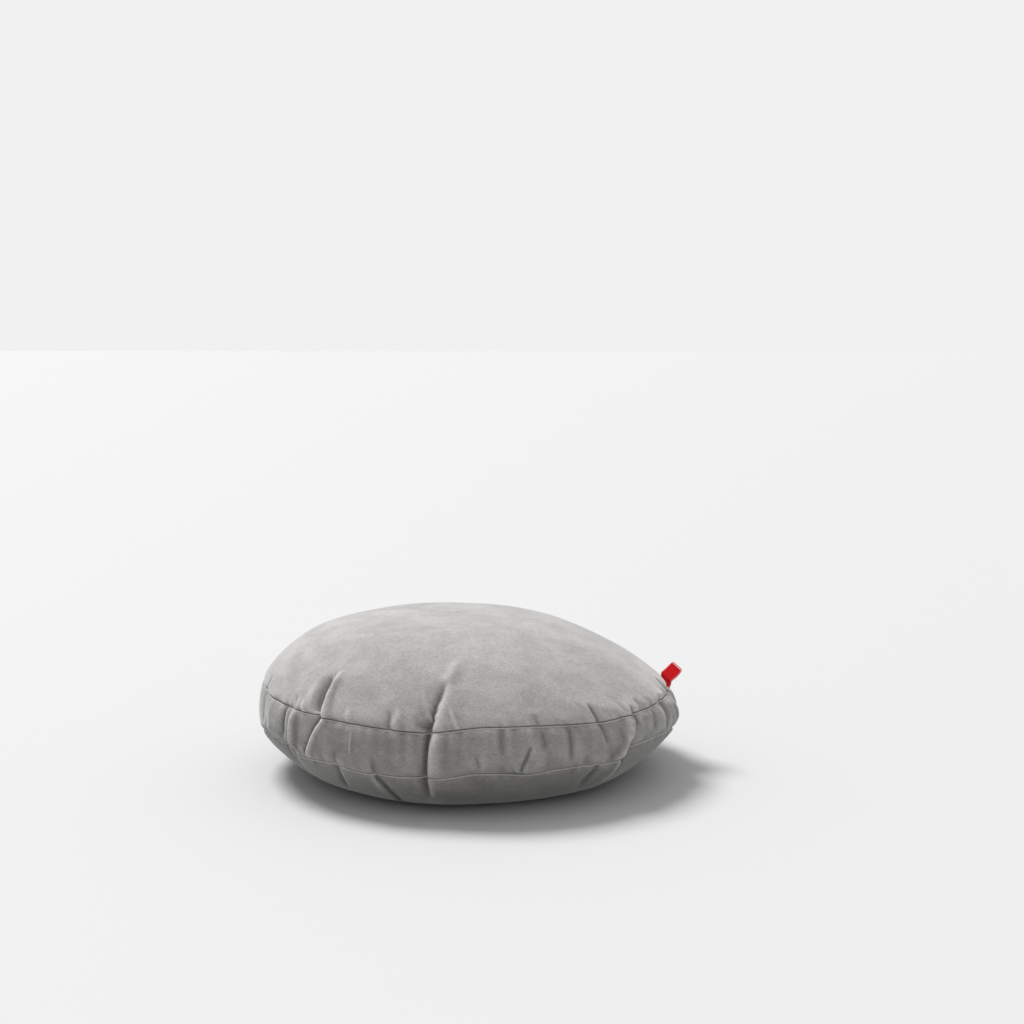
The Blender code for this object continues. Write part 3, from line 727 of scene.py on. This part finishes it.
def between(tree, value, low, high, dark, light, way="SMOOTHSTEP"):
    """A number that goes from dark to light as the value goes from low to high."""
    ramp = add_node(tree, "MapRange", From_Min=low, From_Max=high, To_Min=dark, To_Max=light)
    ramp.interpolation_type = way
    tree.links.new(value, ramp.inputs["Value"])
    return ramp.outputs["Result"]


def math_node(tree, kind, *values):
    """Result of a sum on links and plain numbers."""
    node = tree.nodes.new("ShaderNodeMath")
    node.operation = kind
    for socket, value in zip(node.inputs, values):
        if isinstance(value, (int, float)):
            socket.default_value = value
        else:
            tree.links.new(value, socket)
    return node.outputs[0]


def two_tone(tree, value, dark, light):
    """Colour that goes from dark to light as the value goes from 0 to 1."""
    ramp = tree.nodes.new("ShaderNodeValToRGB")
    for stop, colour in zip(ramp.color_ramp.elements, (dark, light)):
        stop.color = (*colour, 1)
    tree.links.new(value, ramp.inputs["Fac"])
    return ramp.outputs["Color"]


def mixed(tree, share, first, second, hold=True):
    """Colour between two, each a link or a plain colour, by a share that may be held to 0 and 1."""
    node = tree.nodes.new("ShaderNodeMix")
    node.data_type = "RGBA"
    node.clamp_factor = hold
    tree.links.new(share, node.inputs["Factor"])
    for socket, colour in ((node.inputs[6], first), (node.inputs[7], second)):
        if isinstance(colour, tuple):
            socket.default_value = (*colour, 1)
        else:
            tree.links.new(colour, socket)
    return node.outputs[2]


def bumped(tree, height, strength, distance, over=None):
    """Normal of a bump of the given height, over another normal where there is one."""
    node = add_node(tree, "Bump", Strength=strength, Distance=distance)
    tree.links.new(height, node.inputs["Height"])
    if over is not None:
        tree.links.new(over, node.inputs["Normal"])
    return node.outputs["Normal"]


def velvet():
    """Grey short-pile velvet.

    Its brightness is a product of broad patches, brushed streaks, crushed spots, the grain of the
    pile and the painted light and shade kept on the mesh: painted shade in creases, in the seams' tucks
    and over the band and underside, and painted highlights on ridges, on rolled edges and over the
    dome. Two bumps give it soft wrinkles and a pile.
    """
    made, tree, shader = new_material("grey_velvet", Roughness=0.92, Specular_IOR_Level=0.1,
                                      Sheen_Weight=0.42, Sheen_Roughness=0.35,
                                      Sheen_Tint=(0.95, 0.95, 0.94, 1))
    broad = between(tree, noise(tree, 7, 5, 0.62, 0.8), 0.35, 0.66, 0.92, 1.05)
    brushed = between(tree, noise(tree, 26, 6, 0.66, 0.5, (1, 1, 1.9)), 0.36, 0.64, 0.90, 1.05)
    crushed = between(tree, noise(tree, 80, 4, 0.65, 0.3), 0.30, 0.46, 0.94, 1.0)
    grain = noise(tree, 950, 2, 0.6)
    pile = between(tree, grain, 0.3, 0.7, 0.82, 1.12)
    streaks = between(tree, noise(tree, 300, 3, 0.6, 0.0, (1, 1, 2.4)), 0.34, 0.66, 0.92, 1.06)
    # The mesh's attribute is painted light and shade: painted shade in creases, tucks and over the band
    # and underside, painted highlights on ridges, rolled edges and the dome.
    painted_light_shade = tree.nodes.new("ShaderNodeAttribute")
    painted_light_shade.attribute_name = "painted_light_shade"
    # Painted shade and highlight turned into brightness, then multiplied by the velvet's own random
    # patches and grain.
    nap_and_painted_light = between(tree, painted_light_shade.outputs["Fac"], -1.0, 1.0, 0.45, 1.55)
    for part in (broad, brushed, crushed, pile, streaks):
        nap_and_painted_light = math_node(tree, "MULTIPLY", nap_and_painted_light, part)
    colour = mixed(tree, nap_and_painted_light, (0.0, 0.0, 0.0), (0.330, 0.324, 0.315), hold=False)
    wrinkles = bumped(tree, noise(tree, 38, 5, 0.6, 0.5), 0.55, 0.0009)
    tree.links.new(colour, shader.inputs["Base Color"])
    tree.links.new(bumped(tree, grain, 0.5, 0.0006, wrinkles), shader.inputs["Normal"])
    return made


def woven(name, light, dark, scale):
    """Plain woven or spun stuff: two close colours mixed by a fine grain that also roughens it."""
    made, tree, shader = new_material(name, Roughness=0.85, Sheen_Weight=0.2)
    grain = noise(tree, scale, 3)
    tree.links.new(two_tone(tree, grain, dark, light), shader.inputs["Base Color"])
    tree.links.new(bumped(tree, grain, 0.5, 0.0002), shader.inputs["Normal"])
    return made


def brushed_metal():
    """Zinc die-cast metal with a fine brushed grain and worn, brighter patches."""
    made, tree, shader = new_material("brushed_zinc", Metallic=1.0)
    grain = noise(tree, 700, 4, finer=(1, 1, 14))
    tree.links.new(between(tree, grain, 0, 1, 0.24, 0.46, "LINEAR"), shader.inputs["Roughness"])
    metal_tone_and_panel_shade = two_tone(tree, grain, (0.42, 0.42, 0.43), (0.62, 0.62, 0.63))
    tree.links.new(metal_tone_and_panel_shade, shader.inputs["Base Color"])
    return made


def tag_ribbon():
    """Red woven ribbon, ribbed across its length, with a pale line woven 1.4 millimetres in.

    Its weave coordinates are millimetres along the tag from its middle and out from its fold.
    """
    made, tree, shader = new_material("red_tag_ribbon", Roughness=0.9, Specular_IOR_Level=0.02)
    weave = tree.nodes.new("ShaderNodeUVMap")
    weave.uv_map = "weave"
    apart = tree.nodes.new("ShaderNodeSeparateXYZ")
    tree.links.new(weave.outputs["UV"], apart.inputs["Vector"])
    aside = math_node(tree, "ABSOLUTE", apart.outputs["X"])
    to_side = math_node(tree, "SUBTRACT", TAG_LENGTH / 2 * 1000, aside)
    to_end = math_node(tree, "SUBTRACT", TAG_REACH * 1000, apart.outputs["Y"])
    to_line = math_node(tree, "SUBTRACT", math_node(tree, "MINIMUM", to_side, to_end), 1.4)
    line = math_node(tree, "LESS_THAN", math_node(tree, "ABSOLUTE", to_line), 0.28)
    rib = add_node(tree, "TexWave", Scale=1.1, Distortion=0.6)
    rib.bands_direction = "Y"
    tree.links.new(weave.outputs["UV"], rib.inputs["Vector"])
    red = two_tone(tree, rib.outputs["Fac"], (0.30, 0.004, 0.007), (0.46, 0.006, 0.010))
    tree.links.new(mixed(tree, line, red, (0.72, 0.62, 0.60)), shader.inputs["Base Color"])
    tree.links.new(bumped(tree, rib.outputs["Fac"], 0.5, 0.0002), shader.inputs["Normal"])
    return made


def plain(name, colour, roughness):
    """One colour all over, for the floor and the zip's nylon."""
    return new_material(name, Base_Color=(*colour, 1), Roughness=roughness)[0]


# ---- studio ------------------------------------------------------------------------------------

def set_camera():
    """The camera in front of the cushion and a little above it."""
    eye = bpy.data.cameras.new("camera")
    eye.lens = CAMERA_LENS
    eye.sensor_width = 36.0
    holder = placed("camera", eye)
    holder.location = CAMERA_PLACE
    holder.rotation_euler = (math.radians(90 - CAMERA_DIP), 0, 0)
    bpy.context.scene.camera = holder


def set_sky():
    """A white sky, brighter at the back, whose brightness turns to the horizon's near the floor."""
    world = bpy.data.worlds.new("studio")
    bpy.context.scene.world = world
    world.use_nodes = True
    tree = world.node_tree
    apart = tree.nodes.new("ShaderNodeSeparateXYZ")
    tree.links.new(tree.nodes.new("ShaderNodeTexCoord").outputs["Generated"], apart.inputs["Vector"])
    high = between(tree, apart.outputs["Y"], -1, 1, SKY * 0.65, SKY * 1.35, "LINEAR")
    low = between(tree, apart.outputs["Y"], -1, 0.3, HORIZON * 0.8, HORIZON, "LINEAR")
    height = add_node(tree, "MapRange", From_Min=0.22, From_Max=0.45)
    for value, socket in ((apart.outputs["Z"], "Value"), (low, "To Min"), (high, "To Max")):
        tree.links.new(value, height.inputs[socket])
    tree.links.new(height.outputs["Result"], tree.nodes["Background"].inputs["Strength"])
    set_inputs(tree.nodes["Background"], {"Color": (1, 1, 1, 1)})


def set_key():
    """One broad sun from behind the cushion, high on the left."""
    lamp = bpy.data.lights.new("key", "SUN")
    lamp.energy = KEY_POWER
    lamp.angle = math.radians(KEY_SPREAD)
    holder = placed("key", lamp)
    holder.location = KEY_FROM
    holder.rotation_euler = Vector(KEY_FROM).to_track_quat("Z", "Y").to_euler()


def set_floor():
    """A wide pale floor."""
    data = bpy.data.meshes.new("floor")
    data.from_pydata([(-40, -40, 0), (40, -40, 0), (40, 40, 0), (-40, 40, 0)], [], [(0, 1, 2, 3)])
    data.materials.append(plain("pale_floor", (FLOOR_GREY, FLOOR_GREY, FLOOR_GREY), 0.8))
    placed("floor", data)


# ---- the cushion's pieces ----------------------------------------------------------------------

def finish_piece(piece, look, node):
    """Gives a piece its material, hangs it on the cushion's body, and hides the frame's part that it
    stands for.
    """
    piece.data.materials.append(look)
    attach(piece, "cushion")
    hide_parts(node)


def make_cover(dome, band, base):
    """Three velvet panels, each with its painted light and shade: the dome lightened, the band and
    underside darkened as painted shade, and levels of painted light and shade on its rolled edges.
    """
    cloth = velvet()
    # The fifth number of each panel is painted light and shade, lighter on the dome and darker on the
    # band and underside; the sixth is its rolled edge's painted highlight above 0 and painted shade
    # below.
    panels = (("top_panel_velvet", "top_panel", sewn(dome), True, 0.24, -0.5),
              ("side_band_velvet", "side_band", sewn_both(band), False, -0.17, -0.2),
              ("bottom_panel_velvet", "bottom_panel", sewn(base[::-1]), True, -0.42, 0.5))
    for name, node, points, has_pole, metal_tone_and_panel_shade, edge in panels:
        # Painted shade in the creases and highlight on the ridges, plus the panel's painted light and
        # shade.
        painted_light_shade = relief_of(points) + metal_tone_and_panel_shade
        painted_light_shade[-8:] = painted_seam_edge_light(edge)
        if not has_pole:
            # The band's upper rolled edge gets a painted highlight.
            painted_light_shade[:8] = painted_seam_edge_light(0.75)[::-1]
        piece = ring_mesh(name, points, painted_light_shade, pole_first=has_pole)
        thicken(piece, VELVET)
        finish_piece(piece, cloth, node)


def make_pad(dome, band, base):
    """The pad in its case: copies of the cover set in by the room between them, in two sewn halves."""
    rows = np.concatenate([dome, band[1:], base[1:]])[:, ::PAD_STEP]

    def inset(room):
        """The cover's rows drawn in towards the middle, and up from the floor by the room."""
        flat = rows[:, :, :2] * (1 - room / SEAM_RADIUS)
        height = room + rows[:, :, 2:] * (1 - 2 * room / DOME_TOP)
        return np.concatenate([flat, height], axis=2)

    case = inset(CASE_ROOM)
    middle = TOP_ROWS + BAND_ROWS // 2
    top = ring_mesh("pad_case_upper", np.concatenate([case[:middle:3], case[middle:middle + 1]]),
                    pole_first=True)
    low = ring_mesh("pad_case_lower", np.concatenate([case[middle:-1:3], case[-1:]]), pole_last=True)
    cotton = woven("pad_cotton", (0.82, 0.80, 0.76), (0.70, 0.68, 0.64), 1400)
    for piece, node in ((top, "pad_case_top"), (low, "pad_case_bottom")):
        thicken(piece, COTTON)
        finish_piece(piece, cotton, node)
    body = inset(FILL_ROOM)
    body = np.concatenate([body[:-1:3], body[-1:]])
    fill = put_mesh("fibre_filling", capped(body), capped_faces(*body.shape[:2]))
    fibre = woven("fibre", (0.90, 0.90, 0.88), (0.80, 0.80, 0.78), 240)
    finish_piece(fill, fibre, "fibre_fill")


def make_stitching(top_line, low_line):
    """Lockstitch thread deep in both seams, a stitch about every three millimetres, and the tack."""
    look = woven("grey_thread", (0.36, 0.355, 0.345), (0.28, 0.275, 0.27), 2600)
    degrees = np.linspace(0, 360, STITCHES, endpoint=False)
    inwards = outward(np.radians(degrees)) * (TUCK + ROLL + 0.0004)
    for name, node, line in (("upper_seam_stitches", "top_seam_thread", top_line),
                             ("lower_seam_stitches", "bottom_seam_thread", low_line)):
        piece = beads(name, on_line(line, degrees) - inwards, along_line(line, degrees), 0.0026, 0.0006)
        finish_piece(piece, look, node)
    degrees = np.linspace(TACK_DEG - 2.0, TACK_DEG + 2.0, TACK_STITCHES)
    centres = on_line(low_line, degrees) - outward(np.radians(degrees)) * 0.0006 + [0, 0, 0.0016]
    tack = beads("zip_end_stitches", centres, along_line(low_line, degrees), 0.0019, 0.0011)
    dark = woven("dark_thread", (0.12, 0.118, 0.115), (0.08, 0.079, 0.077), 2600)
    finish_piece(tack, dark, "zip_end_tack")


def make_zip(low_line):
    """Coil zip in the lower seam: two tapes and two rows of coil just inside the rolled edges."""
    tape = woven("zip_tape_twill", (0.34, 0.335, 0.325), (0.26, 0.257, 0.25), 1500)
    nylon = plain("zip_coil_nylon", (0.33, 0.325, 0.315), 0.42)
    degrees = np.linspace(*ZIP_DEG, TAPE_STEPS)
    out = outward(np.radians(degrees))
    inner = on_line(low_line, degrees) - out * (TUCK + ROLL + 0.0016)
    turns = np.linspace(*ZIP_DEG, COIL_TURNS)
    way = outward(np.radians(turns))
    coil_line = on_line(low_line, turns) - way * (TUCK + ROLL + 0.0012)
    for word, up in (("upper", np.array([0, 0, 1.0])), ("lower", np.array([0, 0, -1.0]))):
        near = inner + 0.0012 * up
        back = near - out * TAPE_WIDTH + 0.0030 * up
        wall = TAPE_THICKNESS * up
        corners = np.stack([near, near + wall, back + wall, back], axis=1)
        finish_piece(strip("zip_tape_" + word + "_woven", corners), tape, "zip_tape_" + word)
        coil = beads("zip_coil_" + word + "_turns", coil_line + 0.0005 * up, way, 0.0022, 0.0010)
        finish_piece(coil, nylon, "zip_coil_" + word)
    metal = brushed_metal()
    for node in ("zip_slider", "zip_pull", "zip_stop_front", "zip_stop_rear"):
        for place in frame["nodes"][node].material_slots:
            place.material = metal


def joint_place(name):
    """Where a joint of the frame stands."""
    for joint in frame["joints"]:
        if joint["name"] == name:
            return np.array(joint["pos_m"])
    raise ValueError(name)


def make_tag():
    """Woven ribbon tag held by the upper seam.

    It rises straight from the seam to its fold at the hinge, and leans out from there as a sheet with
    round outer corners. The sheet curls by half a millimetre, as a sine along its reach and with the
    square of the distance across it.
    """
    hinge = joint_place("tag_flex")
    up = np.array([0, 0, 1.0])
    out_way = outward(np.radians([TAG_DEG]))[0]
    across = np.array([-out_way[1], out_way[0], 0])
    reach_way = math.cos(TAG_LIFT) * out_way + math.sin(TAG_LIFT) * up
    face_way = np.cross(across, reach_way)
    v = np.linspace(-1, 1, 61)[:, None]
    u = np.linspace(-1, 1, 57)[None]
    past = np.maximum(v * TAG_REACH - (TAG_REACH - TAG_CORNER), 0)
    half = TAG_LENGTH / 2 - TAG_CORNER + np.sqrt(np.maximum(TAG_CORNER ** 2 - past ** 2, 0))
    aside, reach = u * half, v * TAG_REACH + 0 * u
    out, back = np.clip(v, 0, 1), np.clip(-v, 0, 1)
    curl = 0.0005 * np.sin(math.pi * out) + 0.0004 * u ** 2 * out
    points = (hinge + across * aside[:, :, None] + reach_way * (out * TAG_REACH)[:, :, None]
              + face_way * curl[:, :, None]
              - (back * TAG_DROP)[:, :, None] * up - out_way * (0.004 * back ** 2)[:, :, None])
    index = np.arange(aside.size).reshape(aside.shape)
    faces = np.stack([index[:-1, :-1], index[1:, :-1], index[1:, 1:], index[:-1, 1:]], axis=2)
    piece = put_mesh("woven_tag", points, faces.reshape(-1, 4).tolist())
    corner = np.empty(len(piece.data.loops), int)
    piece.data.loops.foreach_get("vertex_index", corner)
    weave = np.stack([aside.ravel(), reach.ravel()], axis=1)[corner] * 1000
    piece.data.uv_layers.new(name="weave").data.foreach_set("uv", weave.ravel())
    thicken(piece, TAG_THICKNESS, offset=0.0)
    edge = piece.modifiers.new("soft_edge", "BEVEL")
    edge.width = 0.00025
    edge.segments = 2
    edge.limit_method = "ANGLE"
    edge.angle_limit = math.radians(50)
    piece.data.materials.append(tag_ribbon())
    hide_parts("brand_tag")
    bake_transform(piece)


set_camera()
set_sky()
set_key()
set_floor()
DOME, SIDE, UNDER = cover_grid()
make_cover(DOME, SIDE, UNDER)
make_pad(DOME, SIDE, UNDER)
make_stitching(DOME[-1], SIDE[-1])
make_zip(SIDE[-1])
make_tag()
bpy.context.scene.view_settings.view_transform = "Standard"
